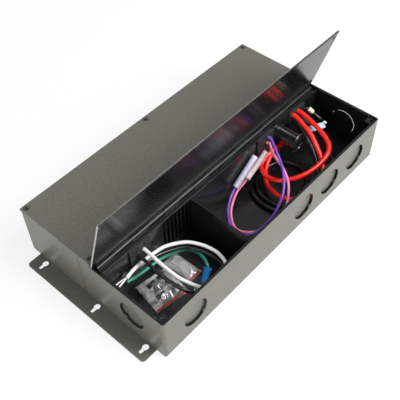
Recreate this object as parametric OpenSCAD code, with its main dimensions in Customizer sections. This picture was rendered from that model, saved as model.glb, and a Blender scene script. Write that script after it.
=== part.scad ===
// LED driver in a folded sheet-steel box, lying on its base with +Z up.
// The rear compartment holds the driver under a screwed cover. The front compartment holds the leads under
// a lid on a continuous hinge. The origin is at the middle of the underside, and the knockout wall faces -Y.

/* [Housing] */
// Outside length of the housing, along X
body_l = 312; // [300:1:340]
// Outside width of the housing, along Y
body_w = 177; // [174:1:200]
// Height of the walls round the driver compartment
body_h = 54.9; // [54:0.1:64]
// How much lower the rim of the wiring compartment is
rim_drop = 2.8; // [2.6:0.1:4]
// Thickness of the housing sheet
sheet_t = 1.5; // [1.2:0.1:2]
// Outside radius of the bends in the housing
bend_r = 2.5; // [2.2:0.1:4]
// Depth of the wiring compartment, from the outside of the front wall to the partition
wiring_w = 73.2; // [72:0.1:78]
// Place of the upright seam where the end flaps butt, along Y
seam_y = 12; // [6:1:40]
// Width of that seam
seam_gap = 0.4; // [0.2:0.1:0.8]
// Depth of the hem folded inside the wiring rim
hem_h = 6; // [4:0.5:8]
// Thickness that the hem adds inside the rim
hem_t = 1.3; // [1:0.1:1.8]
// Length of each side of the corner tabs under the lid
corner_tab = 8; // [7:0.5:10]
// How far those tabs stay below the rim
corner_drop = 2; // [1:0.1:4]
// Diameter of the holes in those tabs
corner_hole_d = 3.6; // [3:0.1:4.2]

/* [Ears and keyholes] */
// Reach of each mounting ear beyond the end wall
ear_w = 16.7; // [15:0.1:22]
// Length of each ear, along Y
ear_l = 152.5; // [150:0.5:166]
// Radius of the ears' outer corners
ear_r = 3.5; // [1:0.5:8]
// Places of the three keyholes of each ear, along Y
keyhole_y = [-68.3, -7.7, 63.3]; // [-70:0.1:70]
// Diameter of a keyhole's round end
keyhole_d = 6.2; // [5:0.1:7]
// Width of a keyhole's slot
keyhole_slot = 3.6; // [3:0.1:4.5]
// Distance from the end wall to the round end
keyhole_in = 4.9; // [4:0.1:6]
// Distance from the round end to the end of the slot
keyhole_run = 5.7; // [4:0.1:7]

/* [Knockouts] */
// Diameter of the knockouts
knockout_d = 28.2; // [22:0.1:29]
// Height of the knockouts' centres
knockout_z = 26; // [20:0.5:29]
// Places of the knockouts of the front wall, along X
front_knockout_x = [-118, 34.3, 76, 119.2]; // [-130:0.1:130]
// Place of the knockout of each end wall, along Y
end_knockout_y = -50; // [-58:0.5:-40]
// Gap round a knockout's slug
slug_gap = 0.2; // [0.15:0.05:0.6]
// Distance that a slug of the front wall is pushed in
slug_step = 2.7; // [0.8:0.1:3]
// Distances that the slugs of the left and right end walls are pushed in
end_slug_steps = [2.7, 1.6]; // [0.8:0.1:3]
// Width of the two ties that hold a slug
tie_w = 4; // [2:0.5:6]

/* [Driver cover] */
// Thickness of the driver cover
cover_t = 2.4; // [1.9:0.1:3]
// Distance of the cover's screws from its ends
cover_screw_in = 4.5; // [4:0.1:8]
// Distance of the rear row of cover screws from the rear face
rear_screw_in = 4.2; // [3.8:0.1:6]
// Distance of the front row of cover screws from the cover's front edge
front_screw_in = 3.4; // [3.3:0.1:6]
// Diameter of the cover screws' heads
screw_head_d = 6; // [5:0.1:6.4]
// Diameter of the cover screws' shanks
screw_d = 3; // [2.5:0.1:3.4]
// Length of the cover screws
screw_l = 7; // [6:0.5:10]
// Play round the screws
screw_play = 0.05; // [0.02:0.01:0.1]

/* [Partition and divider] */
// Thickness of the partition and the divider
partition_t = 1.2; // [1:0.1:1.5]
// How far the partition stays below the rim
partition_drop = 1.1; // [1:0.1:2]
// Width of the partition's foot
foot_w = 9; // [6:0.5:10]
// Place of the divider, along X
divider_x = -43.5; // [-43:0.5:-36]
// How far the divider stays below the rim
divider_drop = 2.1; // [2:0.1:6]
// Number of vent slots in the partition
vent_count = 7; // [4:1:7]
// Spacing of the vent slots
vent_pitch = 5; // [4:0.1:5.2]
// Width of a vent slot
vent_w = 2.8; // [2:0.1:3.2]
// Place of the first vent slot, along X
vent_x = -79; // [-84:0.5:-78]
// Height of the vent slots' lower ends
vent_z = 11; // [8:0.5:20]
// Distance from the partition's top edge to the vent slots
vent_drop = 2.5; // [2:0.5:8]

/* [Hinge and lid] */
// Thickness of the wiring lid
lid_t = 1.6; // [1.2:0.1:2]
// Gap between the closed lid and the rim
lid_gap = 0.3; // [0.2:0.1:0.5]
// Overhang of the closed lid past the front wall
lid_overhang = 0.9; // [0:0.1:1.5]
// Angle that the lid stands open, from closed
lid_angle = 73; // [0:1:85]
// Distance of the hinge pin behind the partition's front face
hinge_back = 8.1; // [7.6:0.1:9.5]
// Outside radius of the hinge barrel
barrel_r = 2; // [1.6:0.1:2.2]
// Thickness of the hinge leaves
leaf_t = 1; // [0.8:0.1:1.1]
// Width of the leaf on the lid, from the pin
moving_leaf_w = 10.5; // [6:0.5:14]
// Width of the leaf on the rail, from the pin
fixed_leaf_w = 6; // [4:0.1:6.4]
// Number of knuckles, fixed and moving ones by turns
knuckles = 15; // [9:2:21]
// Gap between two knuckles
knuckle_gap = 0.3; // [0.2:0.1:0.5]
// Radius of the hinge pin
pin_r = 0.9; // [0.7:0.1:1.1]
// Running play round the pin
pin_play = 0.05; // [0.02:0.01:0.08]
// Clear space round the barrel
barrel_play = 0.3; // [0.2:0.05:0.4]
// Clear space between the swinging lid and the rail behind it
swing_play = 0.4; // [0.3:0.1:0.6]
// Thickness of the rail that carries the hinge
rail_t = 1.2; // [1:0.1:1.5]
// Width of the rail's flange under the cover
rail_flange = 12; // [9:0.5:16]

/* [Grommets and fuse holder] */
// Width of a grommet's flanges
grommet_w = 25; // [24.5:0.1:25.4]
// Height of a grommet's front flange
grommet_h = 26; // [24:0.5:30]
// Lip of the flanges past the notch
grommet_lip = 2; // [1:0.1:2.2]
// Thickness of each flange
grommet_t = 1.7; // [1.2:0.1:2.2]
// Play of a grommet in its notch
grommet_play = 0.1; // [0.05:0.01:0.15]
// Play round a lead in its grommet
lead_play = 0.35; // [0.25:0.05:0.5]
// Place of the mains grommet, along X
input_grommet_x = -110.5; // [-111:0.5:-110]
// Place of the dimming grommet, along X
dimming_grommet_x = 66; // [64:0.5:66]
// Place of the output grommet, along X
output_grommet_x = 117; // [116.5:0.5:117.5]
// Place of the fuse holder, along X
fuse_x = 88.3; // [88.3:0.1:92]
// Height of the fuse holder's axis
fuse_z = 37.6; // [37.4:0.1:38.5]
// Radius of the fuse holder's barrel
fuse_r = 8.6; // [7:0.1:8.8]
// Reach of the fuse holder from the partition
fuse_l = 25.4; // [20:0.1:30]
// Lip of its flange past the barrel
fuse_lip = 0.7; // [0.4:0.1:0.7]
// Thickness of its flange and of its nut
fuse_flange_t = 2; // [1.5:0.1:3]
// Overhang of the rim at its front
fuse_rim = 1.8; // [0.8:0.1:2.2]
// Thickness of that rim
fuse_rim_t = 1.6; // [1:0.1:3]

/* [Leads] */
// Diameter of the mains leads
mains_d = 3.5; // [3:0.1:3.7]
// Diameter of the ground lead
ground_d = 3.1; // [2.6:0.1:3.3]
// Diameter of the dimming leads
dimming_d = 2.8; // [2.2:0.1:3]
// Diameter of the output leads
output_d = 4.9; // [4:0.1:5]
// Diameter of the spare lead
spare_d = 2.2; // [1.8:0.1:2.6]
// Diameter of a stripped end
bare_d = 1.8; // [1.4:0.1:2.2]
// Outside diameter of the clear sleeves on the dimming leads
sleeve_d = 6.5; // [5.6:0.1:6.7]
// Wall of the clear sleeves
sleeve_wall = 0.6; // [0.4:0.1:0.9]

/* [Small parts] */
// Outside diameter of the ground terminal's ring
ring_d = 8.6; // [8:0.1:10]
// Thickness of the ground terminal's plate
ring_t = 0.9; // [0.7:0.1:1.2]
// Diameter of the ground screw
ground_screw_d = 3.8; // [3.4:0.1:4]
// Width of the ground screw's head over its corners
ground_head_d = 7; // [6:0.1:7.4]
// Height of the ground screw's head
ground_head_h = 3; // [2.4:0.1:4]
// Length of the larger bag
bag_l = 35; // [32:0.5:37]
// Width of the larger bag
bag_w = 36; // [34:0.5:36]
// Height of the larger bag
bag_h = 9; // [8.6:0.1:11]
// Length of the smaller bag
spare_bag_l = 34; // [30:0.5:36]
// Width of the smaller bag
spare_bag_w = 16.6; // [14:0.1:17]
// Height of the smaller bag
spare_bag_h = 5; // [4:0.1:7]
// Film thickness that the bags are made with
bag_wall = 0.5; // [0.4:0.1:0.8]

/* [Driver inside] */
// Gap between the circuit board's ends and the end walls
board_end_gap = 14.5; // [8:0.5:30]
// Gap between the board's long edges and the walls beside it
board_side_gap = 4.9; // [3:0.1:8]
// Thickness of the circuit board
board_t = 1.6; // [1:0.1:2.4]
// Height of the posts under the board
post_h = 6; // [4:0.5:10]
// Diameter of those posts
post_d = 7; // [5:0.5:9]
// Place of the transformer, along X
transformer_x = -8; // [-30:1:10]
// Length of the transformer's frame
transformer_l = 44; // [36:0.5:50]
// Width of the transformer's frame
transformer_w = 18; // [14:0.5:22]
// Height of the transformer
transformer_h = 34; // [24:0.5:36]
// Thickness of the frame's legs
transformer_leg = 7; // [5:0.5:9]
// Distance of the input choke from the board's left end
choke_in = 52; // [30:1:80]
// Diameter of the input choke's ring
choke_d = 36; // [28:0.5:40]
// Distance of the last storage capacitor from the board's right end
capacitor_in = 38; // [28:1:48]
// Diameter of the storage capacitors
capacitor_d = 22; // [16:0.5:26]
// Gap between two capacitors
capacitor_gap = 4; // [2:0.5:8]
// Height of the storage capacitors
capacitor_h = 34; // [20:0.5:36]
// Distance of the wound parts and capacitors in front of the board's middle
parts_y = 6; // [4:0.5:8]
// Gap between the heat spreader's ends and the board's ends
spreader_end_gap = 20; // [5:1:60]
// Thickness of the heat spreader
spreader_t = 3; // [2:0.1:4]
// Height of the heat spreader
spreader_h = 36; // [30:0.5:38]
// Width of the heat spreader's foot
spreader_foot = 14; // [10:0.5:16]
// Number of power transistors, spaced evenly along the heat spreader
transistor_count = 4; // [2:1:8]
// Width of a power transistor
transistor_w = 10; // [8:0.5:16]
// Thickness of a power transistor
transistor_t = 4.5; // [4:0.1:5]
// Height of a power transistor
transistor_h = 16; // [12:0.5:20]

/* [Hidden] */
$fn = 32;

coat = [0.16, 0.16, 0.17];
steel = [0.72, 0.72, 0.74];
dark_plastic = [0.08, 0.08, 0.09];
rim_h = body_h - rim_drop;
inner_l = body_l - 2 * sheet_t;
inner_w = body_w - 2 * sheet_t;
front_y = -body_w / 2;
partition_y = front_y + wiring_w;
partition_back = partition_y + partition_t;
partition_top = rim_h - partition_drop;
over = 1;

pivot_y = partition_y + hinge_back;
lid_face = barrel_r + barrel_play;
pivot_z = rim_h + lid_gap - lid_face;
lid_reach = pivot_y - front_y + lid_overhang;
ledge_z = pivot_z - lid_face;
lid_relief_w = sheet_t + 0.5;
lid_relief_l = lid_face - lid_gap + 0.7;
riser_y = pivot_y + lid_face + lid_t + swing_play;
hinge_l = inner_l - 5;
knuckle_l = hinge_l / knuckles;

corner_hole_in = sheet_t + corner_tab / 2;
corner_hole_x = body_l / 2 - corner_hole_in;
corner_hole_y = front_y + corner_hole_in;
cover_screw_x = body_l / 2 - cover_screw_in;
rear_screw_y = body_w / 2 - rear_screw_in;
front_screw_y = riser_y + front_screw_in;
screw_head_h = (screw_head_d - screw_d) / 2;
cover_tab_l = 14;
cover_tab_w = 9;

grommet_z = partition_top - grommet_h;
grommet_front = partition_y - grommet_t;
grommet_back = partition_back + grommet_t;
notch_w = grommet_w - 2 * grommet_lip;

bay_front = riser_y;
bay_back = body_w / 2 - sheet_t;
board_l = inner_l - 2 * board_end_gap;
board_w = bay_back - bay_front - 2 * board_side_gap;
board_y = (bay_front + bay_back) / 2;
board_z = sheet_t + post_h;
board_top = board_z + board_t;
spreader_y = board_y + board_w / 2;
spreader_l = board_l - 2 * spreader_end_gap;

// The routes below are laid out for this partition front, floor and compartment depth, and move with them
route_wall = -15.3;
route_floor = 1.5;
route_depth = 49.5;
function laid(p) = [p.x, p.y + partition_y - route_wall,
    sheet_t + (p.z - route_floor) * (partition_top - sheet_t) / route_depth];
function laid_all(route) = [for (p = route) laid(p)];

// Routes of the leads, from where each leaves the driver or its terminal to its free end
ac_white_route = laid_all([
    [-106.5, -14.1, 40], [-106.5, -17.5, 40], [-106.5, -20.5, 40], [-107.5, -30, 40], [-108, -45, 39],
    [-107, -60, 37], [-102, -72.5, 33], [-95, -79.5, 28], [-84, -82, 24.5], [-72, -80.5, 22.5],
    [-62, -73.5, 22], [-58, -62, 22.5], [-59, -52, 23.5], [-63, -42, 25], [-71, -32, 27],
    [-86, -23.5, 29], [-100, -21, 30], [-113, -20, 30], [-124.5, -20.5, 30.5], [-134.5, -22.5, 31]
]);
ac_black_route = laid_all([
    [-114, -14.1, 38], [-114, -17.5, 38], [-114, -20.5, 38], [-114, -28, 38], [-115.5, -41, 37],
    [-114, -56, 35], [-110.5, -69, 32], [-104, -77, 27], [-94, -81.5, 21], [-82, -83, 17.5],
    [-70, -81, 16], [-64, -74, 16.5], [-61.5, -65, 18], [-62, -55, 19], [-64.5, -45, 20],
    [-72, -33, 21.5], [-90.5, -23.5, 23], [-105, -20.3, 24.5], [-120, -19.4, 25.5], [-132.5, -18.7, 26]
]);
ground_green_route = laid_all([
    [-77, -62.8, 10.6], [-74.6, -62.1, 13.2], [-72.2, -61.2, 15.8], [-70, -57.5, 17.6],
    [-67.3, -50.8, 17.2], [-66, -43, 15.8], [-68, -35, 15.4], [-73.5, -30, 15.5], [-83, -25.5, 15.5],
    [-93, -22.5, 16], [-107, -22.2, 18], [-120.5, -22, 20], [-133.5, -20.8, 22]
]);
dim_purple_route = laid_all([
    [68.5, -14.1, 46.5], [68.5, -17.5, 46.5], [68.5, -20.5, 46.5], [61, -32, 45.5], [49, -49.5, 43],
    [39.5, -59.5, 40], [27.5, -68, 35], [17, -71.2, 29], [7, -71.6, 22], [-5, -69.6, 16],
    [-15, -66, 13], [-21.5, -58.5, 12], [-22, -49, 12], [-17.5, -40, 12], [-7.5, -30, 12],
    [5, -22.5, 13], [15, -19.6, 17.3], [24, -19.4, 23.2], [30, -19.3, 27.2]
]);
dim_pink_route = laid_all([
    [67.5, -14.1, 39.5], [67.5, -17.5, 39.5], [67.5, -20.5, 39.5], [59.5, -31, 39], [52, -49, 37],
    [42.5, -62.5, 35], [33, -70.5, 30], [24, -75, 24], [9, -76.5, 16.5], [-2, -72, 12], [-9, -66, 10.5],
    [-15, -59, 9.5], [-18, -50, 9], [-13.5, -40.5, 8.5], [-3.5, -30.5, 8.5], [9, -23.5, 9],
    [19, -20, 10.5], [27, -21.2, 16], [33, -22, 21], [40, -22, 24.4], [46, -22, 27.3]
]);
red_a_route = laid_all([
    [110, -14.1, 46.5], [110, -17.5, 46.5], [110, -20.5, 46.5], [107.5, -30, 45], [102.8, -44.5, 42],
    [98, -55.5, 37], [92, -66.5, 31], [83, -76, 24.5], [72, -80.5, 17.5], [58, -79, 12.5],
    [47.5, -70, 10.5], [41, -58, 10], [41.5, -47, 10.5], [45.5, -36, 11], [56, -26, 12.5],
    [66, -21, 15.5], [75, -19, 18.5], [84, -20, 19]
]);
red_b_route = laid_all([
    [118.3, -14.1, 46.5], [118.3, -17.5, 46.5], [118.3, -20.5, 46.5], [117.2, -31, 45],
    [113.3, -46, 43.5], [108, -60, 41.5], [101, -68.5, 39.5], [89.5, -72, 37], [75, -71, 34],
    [60.5, -66, 31], [50.5, -58, 28], [43.5, -48.5, 26], [44, -35.5, 23], [50.5, -24.5, 20.5],
    [58.5, -19.8, 21.5], [69, -20.3, 25], [79, -21, 26], [87, -22, 25.5]
]);
black_a_route = laid_all([
    [110, -14.1, 38.5], [110, -17.5, 38.5], [110, -20.5, 38.5], [107.5, -29, 36], [104.5, -39, 32],
    [102, -47.5, 27.5], [95, -59.5, 20], [86, -68.5, 14], [74, -74.5, 9], [60, -75.5, 5.5],
    [46, -71, 4.2], [36, -61, 4], [33, -49, 4], [35.5, -36, 4], [43, -25.5, 4], [54, -19.5, 4],
    [66, -18.6, 4], [78, -21.5, 4], [87, -29.5, 4], [90.5, -41, 4], [88, -53, 4], [80, -61.5, 4],
    [70, -65.5, 4], [60, -64.5, 4]
]);
black_b_route = laid_all([
    [119, -14.1, 38.5], [119, -17.5, 38.5], [119, -20.5, 38.5], [120.5, -30, 36], [121.5, -42, 33.5],
    [121.5, -54, 23], [118, -64.5, 12], [112, -72.5, 6.5], [101, -78, 4.5], [88, -80.5, 4],
    [74, -81.5, 4], [60, -81.5, 4], [48, -78, 4], [36, -70.5, 4], [28, -60, 4], [26, -47, 4],
    [29, -34, 4], [34, -26.5, 4]
]);
spare_route = laid_all([
    [125.2, -14.1, 45.6], [125.2, -17.4, 45.6], [126.8, -19.9, 45.8], [129, -22.4, 45.4], [130.6, -27.2, 42],
    [131.2, -31, 39.6], [131.8, -36, 37.6], [131.6, -41, 36.6]
]);

// Places of the pieces that sit on the leads, and the gap between a lead's end and what carries on from it
end_gap = 0.15;
white_tip = laid([-145, -24.6, 31.5]);
black_tip = laid([-144, -18.1, 26.5]);
purple_sleeve = laid_all([[16, -19.5, 18], [46.5, -19.2, 38]]);
pink_sleeve = laid_all([[31, -22.1, 20], [61, -21.7, 34.5]]);
terminal_low = laid([-81, -64, 6.2]);
terminal_high = laid([-72.4, -61.4, 15.6]);
terminal_barrel = laid([-83.6, -64.8, 3.3]);
ring_at = laid([-89.2, -65, 1.5]);
tag_at = laid([119.5, -40.5, 37.2]);
bag_at = laid([-110, -39.2, 1.5]);
bag_turn = -9.5;
spare_bag_at = laid([-80.2, -36.5, 1.5]);
spare_bag_turn = 1;
bag_screw_places = [[-9, 8, 20], [-7, 1, -5], [-9, -6, 10], [8, 1, 80], [6, -7, 0], [3, 9.5, 25]];

// Rectangle with round corners, centred on the origin
module rounded_rect(l, w, r) {
    square([l - 2 * r, w], center = true);
    square([l, w - 2 * r], center = true);
    for (x = [-1, 1], y = [-1, 1])
        translate([x * (l / 2 - r), y * (w / 2 - r)])
            circle(r);
}

// Slot with round ends, upright along Y from y0 to y1
module slot(w, y0, y1) {
    translate([-w / 2, y0 + w / 2])
        square([w, y1 - y0 - w]);
    for (y = [y0 + w / 2, y1 - w / 2])
        translate([0, y])
            circle(w / 2);
}

// Solid tray form with round upright corners and round bends along its two long bottom edges
module tray(l, w, h, r) {
    intersection() {
        linear_extrude(h)
            rounded_rect(l, w, r);
        translate([-l / 2, 0, h])
            rotate([90, 0, 90])
                linear_extrude(l)
                    rounded_rect(w, 2 * h, r);
    }
}

// Turns a shape so that its +Z runs from point a to point b
module along(a, b) {
    way = b - a;
    translate(a)
        rotate([0, acos(way.z / norm(way)), atan2(way.y, way.x)])
            children();
}

// Stands a drawing of the XZ plane upright, its front at y and its thickness t towards +Y
module upright(y, t) {
    translate([0, y + t, 0])
        rotate([90, 0, 0])
            linear_extrude(t)
                children();
}

// Smooth path through a route's points
function clamped(p, i) = p[max(0, min(len(p) - 1, i))];
function between(a, b, c, d, t) =
    0.5 * (2 * b + (c - a) * t + (2 * a - 5 * b + 4 * c - d) * t * t + (3 * b - a - 3 * c + d) * t * t * t);
function smooth(p, steps) = [
    for (i = [0 : len(p) - 2], k = [0 : steps - 1])
        between(clamped(p, i - 1), p[i], p[i + 1], clamped(p, i + 2), k / steps),
    p[len(p) - 1]
];
function heading(p, i) = let (v = clamped(p, i + 1) - clamped(p, i - 1)) v / norm(v);

// Round lead of diameter d along a route
module lead(route, d, sides = 8) {
    path = smooth(route, 2);
    last = len(path) - 1;
    points = [
        for (i = [0 : last])
            let (t = heading(path, i), c = cross(t, [0, 0, 1]), u = c / norm(c), v = cross(u, t))
                for (k = [0 : sides - 1])
                    path[i] + d / 2 * (cos(360 * k / sides) * u + sin(360 * k / sides) * v)
    ];
    walls = [
        for (i = [0 : last - 1], k = [0 : sides - 1])
            let (a = i * sides + k, b = i * sides + (k + 1) % sides)
                each [[a, b, b + sides], [a, b + sides, a + sides]]
    ];
    start = [for (k = [sides - 1 : -1 : 0]) k];
    end = [for (k = [0 : sides - 1]) last * sides + k];
    polyhedron(points, concat(walls, [start, end]));
}

// Places of the cover screws
module at_cover_screws() {
    for (x = [-cover_screw_x, 0, cover_screw_x], y = [front_screw_y, rear_screw_y])
        translate([x, y, 0])
            children();
}

// Places of the front wall's knockouts, with +Z pointing into the housing from the wall's outside
module at_front_knockouts() {
    for (x = front_knockout_x)
        translate([x, front_y, knockout_z])
            rotate([-90, 0, 0])
                children();
}

// Place of an end wall's knockout: side -1 is the left wall, 1 the right one
module at_end_knockout(side) {
    translate([side * body_l / 2, end_knockout_y, knockout_z])
        rotate([0, -90 * side, 0])
            children();
}

module knockout_hole() {
    translate([0, 0, -over])
        cylinder(d = knockout_d, h = sheet_t + 2 * over);
}

// Slug of a knockout, pushed in by a step and held by two ties
module knockout_slug(step) {
    translate([0, 0, step])
        cylinder(d = knockout_d - 2 * slug_gap, h = sheet_t);
    for (a = [40, 220])
        rotate(a)
            translate([knockout_d / 2 - 1.5, -tie_w / 2, sheet_t / 2])
                cube([2.6, tie_w, step + sheet_t / 2]);
}

module keyhole() {
    circle(d = keyhole_d);
    translate([keyhole_run, 0])
        circle(d = keyhole_slot);
    translate([0, -keyhole_slot / 2])
        square([keyhole_run, keyhole_slot]);
}

// Base with its two ears, and the keyholes in them
module base_sheet() {
    linear_extrude(sheet_t)
        difference() {
            translate([0, -0.8])
                rounded_rect(body_l + 2 * ear_w, ear_l, ear_r);
            for (s = [0, 180], y = keyhole_y)
                translate([0, y])
                    rotate(s)
                        translate([body_l / 2 + keyhole_in, 0])
                            keyhole();
            translate([ring_at.x, ring_at.y])
                circle(d = ground_screw_d + 2 * screw_play);
        }
}

// Walls on their bends, stepped down round the wiring compartment
module walls() {
    difference() {
        tray(body_l, body_w, body_h, bend_r);
        translate([0, 0, sheet_t])
            tray(inner_l, inner_w, body_h, bend_r - sheet_t);
        translate([-body_l / 2 - over, front_y - over, rim_h])
            cube([body_l + 2 * over, riser_y - front_y + over, body_h]);
        for (s = [-1, 1])
            translate([s * body_l / 2 - 5, seam_y - seam_gap / 2, sheet_t])
                cube([10, seam_gap, body_h]);
        at_front_knockouts()
            knockout_hole();
        for (side = [-1, 1])
            at_end_knockout(side)
                knockout_hole();
        translate([ring_at.x, ring_at.y, -over])
            cylinder(d = ground_screw_d + 2 * screw_play, h = sheet_t + 2 * over);
    }
}

// Hems folded inside the front rim and the two end rims
module hems() {
    hem_z = rim_h - hem_h;
    front_l = inner_l - 2 * corner_tab - 2;
    end_y0 = front_y + sheet_t + corner_tab + 1;
    translate([-front_l / 2, front_y + sheet_t / 2, hem_z])
        cube([front_l, sheet_t / 2 + hem_t, hem_h]);
    for (s = [0, 1])
        mirror([s, 0, 0])
            translate([inner_l / 2 - hem_t, end_y0, hem_z])
                cube([hem_t + sheet_t / 2, partition_y - 0.4 - end_y0, hem_h]);
}

// Tabs in the two front corners, with the holes for the lid's screws
module corner_tabs() {
    for (s = [-1, 1])
        difference() {
            translate([s * corner_hole_x, corner_hole_y, rim_h - corner_drop - sheet_t])
                linear_extrude(sheet_t)
                    square(corner_tab + sheet_t, center = true);
            translate([s * corner_hole_x, corner_hole_y, rim_h - corner_drop - sheet_t - over])
                cylinder(d = corner_hole_d, h = sheet_t + 2 * over);
        }
}

// Tabs along the rear wall for the cover screws
module cover_tabs() {
    for (x = [-cover_screw_x, 0, cover_screw_x])
        intersection() {
            difference() {
                translate([x - cover_tab_l / 2, body_w / 2 - sheet_t / 2 - cover_tab_w, body_h - sheet_t])
                    cube([cover_tab_l, cover_tab_w, sheet_t]);
                translate([x, rear_screw_y, 0])
                    cylinder(d = screw_d + 2 * screw_play, h = body_h + over);
            }
            translate([-inner_l / 2 - sheet_t / 2, 0, 0])
                cube([inner_l + sheet_t, body_w, body_h]);
        }
}

module housing() {
    color(coat) {
        walls();
        base_sheet();
        hems();
        corner_tabs();
        cover_tabs();
        at_front_knockouts()
            knockout_slug(slug_step);
        at_end_knockout(-1)
            knockout_slug(end_slug_steps[0]);
        at_end_knockout(1)
            knockout_slug(end_slug_steps[1]);
    }
}

module driver_cover() {
    color(coat)
        difference() {
            translate([-body_l / 2, riser_y, body_h])
                cube([body_l, body_w / 2 - riser_y, cover_t]);
            at_cover_screws() {
                cylinder(d = screw_d + 2 * screw_play, h = 2 * body_h);
                translate([0, 0, body_h + cover_t - screw_head_h])
                    cylinder(d1 = screw_d + 2 * screw_play, d2 = screw_head_d + 2 * screw_play,
                        h = screw_head_h + 0.001);
            }
        }
}

// Countersunk screws with a cross recess
module cover_screws() {
    color(coat)
        at_cover_screws()
            difference() {
                translate([0, 0, body_h + cover_t - screw_l]) {
                    cylinder(d = screw_d, h = screw_l);
                    translate([0, 0, screw_l - screw_head_h])
                        cylinder(d1 = screw_d, d2 = screw_head_d, h = screw_head_h);
                }
                for (a = [45, 135])
                    translate([0, 0, body_h + cover_t])
                        rotate(a)
                            cube([0.6 * screw_head_d, 0.7, 2], center = true);
            }
}

module partition() {
    color(coat) {
        upright(partition_y, partition_t)
            difference() {
                translate([-inner_l / 2, sheet_t])
                    square([inner_l, partition_top - sheet_t]);
                for (i = [0 : vent_count - 1])
                    translate([vent_x + i * vent_pitch, 0])
                        slot(vent_w, vent_z, partition_top - vent_drop);
                for (x = [input_grommet_x, dimming_grommet_x, output_grommet_x])
                    translate([x - notch_w / 2, grommet_z + grommet_lip])
                        square([notch_w, grommet_h]);
                translate([fuse_x, fuse_z])
                    circle(fuse_r - 2 + grommet_play);
            }
        translate([-inner_l / 2, partition_y, sheet_t])
            cube([inner_l, foot_w, partition_t]);
    }
}

module divider() {
    depth = partition_y - front_y - sheet_t - hem_t;
    color(coat)
        translate([divider_x, partition_y - depth, sheet_t]) {
            cube([partition_t, depth, rim_h - divider_drop - sheet_t]);
            cube([foot_w, depth, partition_t]);
        }
}

// Folded rail: ledge under the hinge, riser behind the lid, flange under the cover's front edge
module hinge_rail() {
    color(coat)
        difference() {
            translate([-inner_l / 2, 0, 0]) {
                translate([0, partition_back, ledge_z - rail_t])
                    cube([inner_l, riser_y + rail_t - partition_back, rail_t]);
                translate([0, riser_y, ledge_z - rail_t])
                    cube([inner_l, rail_t, body_h - ledge_z + rail_t]);
                translate([0, riser_y, body_h - rail_t])
                    cube([inner_l, rail_flange, rail_t]);
            }
            at_cover_screws()
                cylinder(d = screw_d + 2 * screw_play, h = body_h + over);
        }
}

// Leaf and knuckles of one half of the hinge, about the pin, as it lies with the lid closed.
// The leaf is above the pin, and every second knuckle belongs to it, from the given one on.
module hinge_half(width, first) {
    difference() {
        union() {
            translate([-hinge_l / 2, -width, lid_face - leaf_t])
                cube([hinge_l, width - lid_face, leaf_t]);
            for (i = [first : 2 : knuckles - 1])
                translate([-hinge_l / 2 + i * knuckle_l + knuckle_gap / 2, 0, 0]) {
                    rotate([0, 90, 0])
                        cylinder(r = barrel_r, h = knuckle_l - knuckle_gap);
                    translate([0, -lid_face, lid_face - leaf_t])
                        cube([knuckle_l - knuckle_gap, lid_face, leaf_t]);
                }
        }
        translate([-hinge_l / 2 - over, 0, 0])
            rotate([0, 90, 0])
                cylinder(r = pin_r + pin_play, h = hinge_l + 2 * over);
    }
}

module at_pivot() {
    translate([0, pivot_y, pivot_z])
        children();
}

module hinge_fixed_leaf() {
    color(coat)
        at_pivot()
            mirror([0, 0, 1])
                hinge_half(fixed_leaf_w, 0);
}

module hinge_moving_leaf() {
    color(coat)
        at_pivot()
            rotate([-lid_angle, 0, 0])
                hinge_half(moving_leaf_w, 1);
}

module hinge_pin() {
    color(steel)
        at_pivot()
            translate([-hinge_l / 2, 0, 0])
                rotate([0, 90, 0])
                    cylinder(r = pin_r, h = hinge_l);
}

module wiring_lid() {
    color(coat)
        at_pivot()
            rotate([-lid_angle, 0, 0])
                translate([0, 0, lid_face])
                    linear_extrude(lid_t)
                        difference() {
                            translate([-body_l / 2, -lid_reach])
                                square([body_l, lid_reach]);
                            for (s = [-1, 1])
                                translate([s * body_l / 2, 0])
                                    square([2 * lid_relief_w, 2 * lid_relief_l], center = true);
                            for (s = [-1, 1])
                                translate([s * corner_hole_x, corner_hole_y - pivot_y])
                                    circle(d = corner_hole_d + 0.8);
                        }
}

// Block that slides into a notch of the partition from above, with a hole for each lead
module grommet(x, holes) {
    difference() {
        union() {
            upright(grommet_front, grommet_t)
                translate([x, grommet_z + grommet_h / 2])
                    rounded_rect(grommet_w, grommet_h, 1.5);
            upright(partition_y, partition_t)
                translate([x - notch_w / 2 + grommet_play, grommet_z + grommet_lip + grommet_play])
                    square([notch_w - 2 * grommet_play, grommet_h - grommet_lip - grommet_play]);
            upright(partition_back, grommet_t)
                translate([x - grommet_w / 2, grommet_z])
                    square([grommet_w, ledge_z - rail_t - 0.3 - grommet_z]);
        }
        for (h = holes)
            translate([h[0], grommet_back + over, h[1]])
                rotate([90, 0, 0])
                    cylinder(d = h[2] + 2 * lead_play, h = grommet_back - grommet_front + 2 * over);
    }
}

function hole_for(route, d) = [route[0].x, route[0].z, d];

module input_grommet() {
    spare_row = [ac_white_route[0] + [1, 0, 7], ac_black_route[0] + [1.5, 0, 8.5]];
    color(dark_plastic)
        grommet(input_grommet_x, [
            hole_for(ac_white_route, mains_d),
            hole_for(ac_black_route, mains_d),
            for (p = spare_row) [p.x, p.z, 1.6]
        ]);
}

module dimming_grommet() {
    color(dark_plastic)
        grommet(dimming_grommet_x, [
            hole_for(dim_purple_route, dimming_d),
            hole_for(dim_pink_route, dimming_d)
        ]);
}

module output_grommet() {
    color(dark_plastic)
        grommet(output_grommet_x, [
            hole_for(red_a_route, output_d),
            hole_for(red_b_route, output_d),
            hole_for(black_a_route, output_d),
            hole_for(black_b_route, output_d),
            hole_for(spare_route, spare_d)
        ]);
}

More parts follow.
